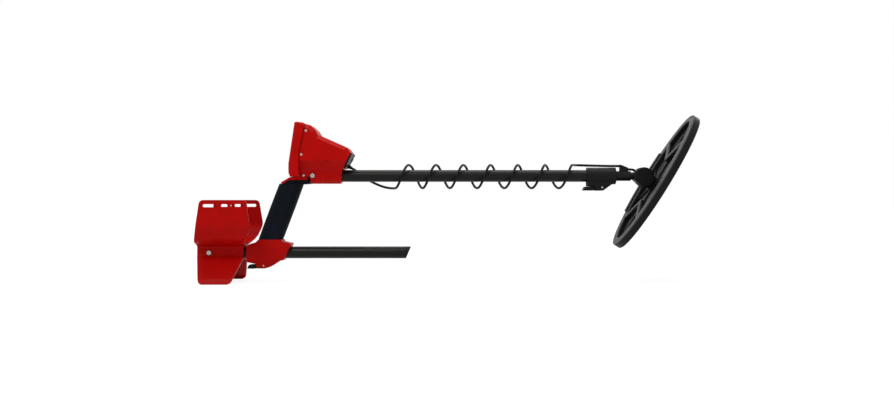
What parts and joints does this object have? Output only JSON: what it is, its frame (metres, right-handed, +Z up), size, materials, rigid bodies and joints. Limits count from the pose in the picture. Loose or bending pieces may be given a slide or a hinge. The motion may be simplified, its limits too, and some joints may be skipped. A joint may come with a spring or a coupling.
{
  "type": "metal detector",
  "caption": "Hobby metal detector with a pistol grip, a raised control box, a telescoping rod with a tilting elliptical search coil and a sliding armrest with legs.",
  "frame": {"origin": "centre of the footprint, on the surface that the armrest's legs stand on", "axes": "+X forward to the search coil, +Y to the far side, +Z up"},
  "size_m": [0.9224, 0.18, 0.3075],
  "materials": {
    "red_plastic": "satin red moulded plastic",
    "black_plastic": "satin black moulded plastic",
    "grey_plastic": "matte grey moulded plastic",
    "tube_paint": "black powder-coated aluminium tube",
    "soft_grip": "fine-grained foam rubber",
    "steel": "bright zinc-plated steel",
    "clear_window": "clear glossy cover",
    "lcd": "grey-green liquid crystal panel",
    "board": "green circuit board",
    "button_rubber": "soft matte rubber key",
    "copper": "enamelled copper wire bundle",
    "cable_jacket": "matte black PVC jacket"
  },
  "bodies": {
    "main": {"control_housing": "red_plastic", "rear_bezel": "red_plastic", "display_window": "clear_window", "lcd_panel": "lcd", "main_board": "board", "battery_pack": "black_plastic", "loudspeaker": "black_plastic", "front_panel": "black_plastic", "headphone_socket": "black_plastic", "box_strain_relief": "black_plastic", "clamp_bolt": "steel", "clamp_nut": "steel", "seam_screws": "steel", "handle_frame": "red_plastic", "grip_sleeve": "soft_grip", "upper_tube": "tube_paint", "lock_collar": "black_plastic", "rod_lever_pin": "steel", "lower_housing": "red_plastic", "tube_lever_pin": "steel", "cable_lead": "cable_jacket", "cable_winding": "cable_jacket", "cable_run": "cable_jacket"},
    "rod": {"lower_rod": "tube_paint", "rod_bush": "black_plastic", "rod_yoke": "black_plastic", "yoke_washers": "button_rubber", "cable_clip": "black_plastic", "cable_tail": "cable_jacket"},
    "coil": {"coil_shell": "black_plastic", "coil_frame": "grey_plastic", "skid_plate": "black_plastic", "transmit_winding": "copper", "receive_winding": "copper", "channel_cover": "black_plastic", "coil_gland": "black_plastic"},
    "knob": {"coil_bolt": "steel", "coil_knob": "black_plastic"},
    "rod_lever_body": {"rod_lever": "black_plastic"},
    "tube_lever_body": {"tube_lever": "black_plastic"},
    "armrest": {"lower_tube": "tube_paint", "tube_plug": "black_plastic", "tube_rear_cap": "black_plastic", "arm_cuff": "red_plastic", "cuff_bolt": "steel", "cuff_nut": "steel"},
    "key_menu_down": {"button_menu_down": "button_rubber"},
    "key_pinpoint": {"button_pinpoint": "button_rubber"},
    "key_minus": {"button_minus": "button_rubber"},
    "key_menu_up": {"button_menu_up": "button_rubber"},
    "key_power": {"button_power": "button_rubber"},
    "key_plus": {"button_plus": "button_rubber"}
  },
  "joints": [
    {"name": "rod_slide", "type": "slide", "parent": "main", "child": "rod", "axis": [1, 0, 0], "range_m": [0, 0.3], "deforming": ["cable_run"]},
    {"name": "coil_tilt", "type": "hinge", "parent": "rod", "child": "coil", "pos_m": [0.3567, 0, 0.1923], "axis": [0, -1, 0], "range_deg": [-45, 90], "deforming": ["cable_tail"]},
    {"name": "knob_turn", "type": "hinge", "parent": "rod", "child": "knob", "pos_m": [0.3567, 0, 0.1923], "axis": [0, 1, 0], "continuous": true},
    {"name": "rod_lever_swing", "type": "hinge", "parent": "main", "child": "rod_lever_body", "pos_m": [0.2796, 0, 0.1741], "axis": [0, -1, 0], "range_deg": [0, 100]},
    {"name": "tube_lever_swing", "type": "hinge", "parent": "main", "child": "tube_lever_body", "pos_m": [-0.3432, 0, 0.0303], "axis": [0, -1, 0], "range_deg": [0, 90]},
    {"name": "armrest_slide", "type": "slide", "parent": "main", "child": "armrest", "axis": [-1, 0, 0], "range_m": [0, 0.18]},
    {"name": "press_menu_down", "type": "slide", "parent": "main", "child": "key_menu_down", "axis": [0.9892, 0, -0.1463], "range_m": [0, 0.0012], "stiffness_N_per_m": 1500, "springref_m": -0.0002},
    {"name": "press_pinpoint", "type": "slide", "parent": "main", "child": "key_pinpoint", "axis": [0.9892, 0, -0.1463], "range_m": [0, 0.0012], "stiffness_N_per_m": 1500, "springref_m": -0.0002},
    {"name": "press_minus", "type": "slide", "parent": "main", "child": "key_minus", "axis": [0.9892, 0, -0.1463], "range_m": [0, 0.0012], "stiffness_N_per_m": 1500, "springref_m": -0.0002},
    {"name": "press_menu_up", "type": "slide", "parent": "main", "child": "key_menu_up", "axis": [0.9892, 0, -0.1463], "range_m": [0, 0.0012], "stiffness_N_per_m": 1500, "springref_m": -0.0002},
    {"name": "press_power", "type": "slide", "parent": "main", "child": "key_power", "axis": [0.9892, 0, -0.1463], "range_m": [0, 0.0012], "stiffness_N_per_m": 1500, "springref_m": -0.0002},
    {"name": "press_plus", "type": "slide", "parent": "main", "child": "key_plus", "axis": [0.9892, 0, -0.1463], "range_m": [0, 0.0012], "stiffness_N_per_m": 1500, "springref_m": -0.0002}
  ]
}
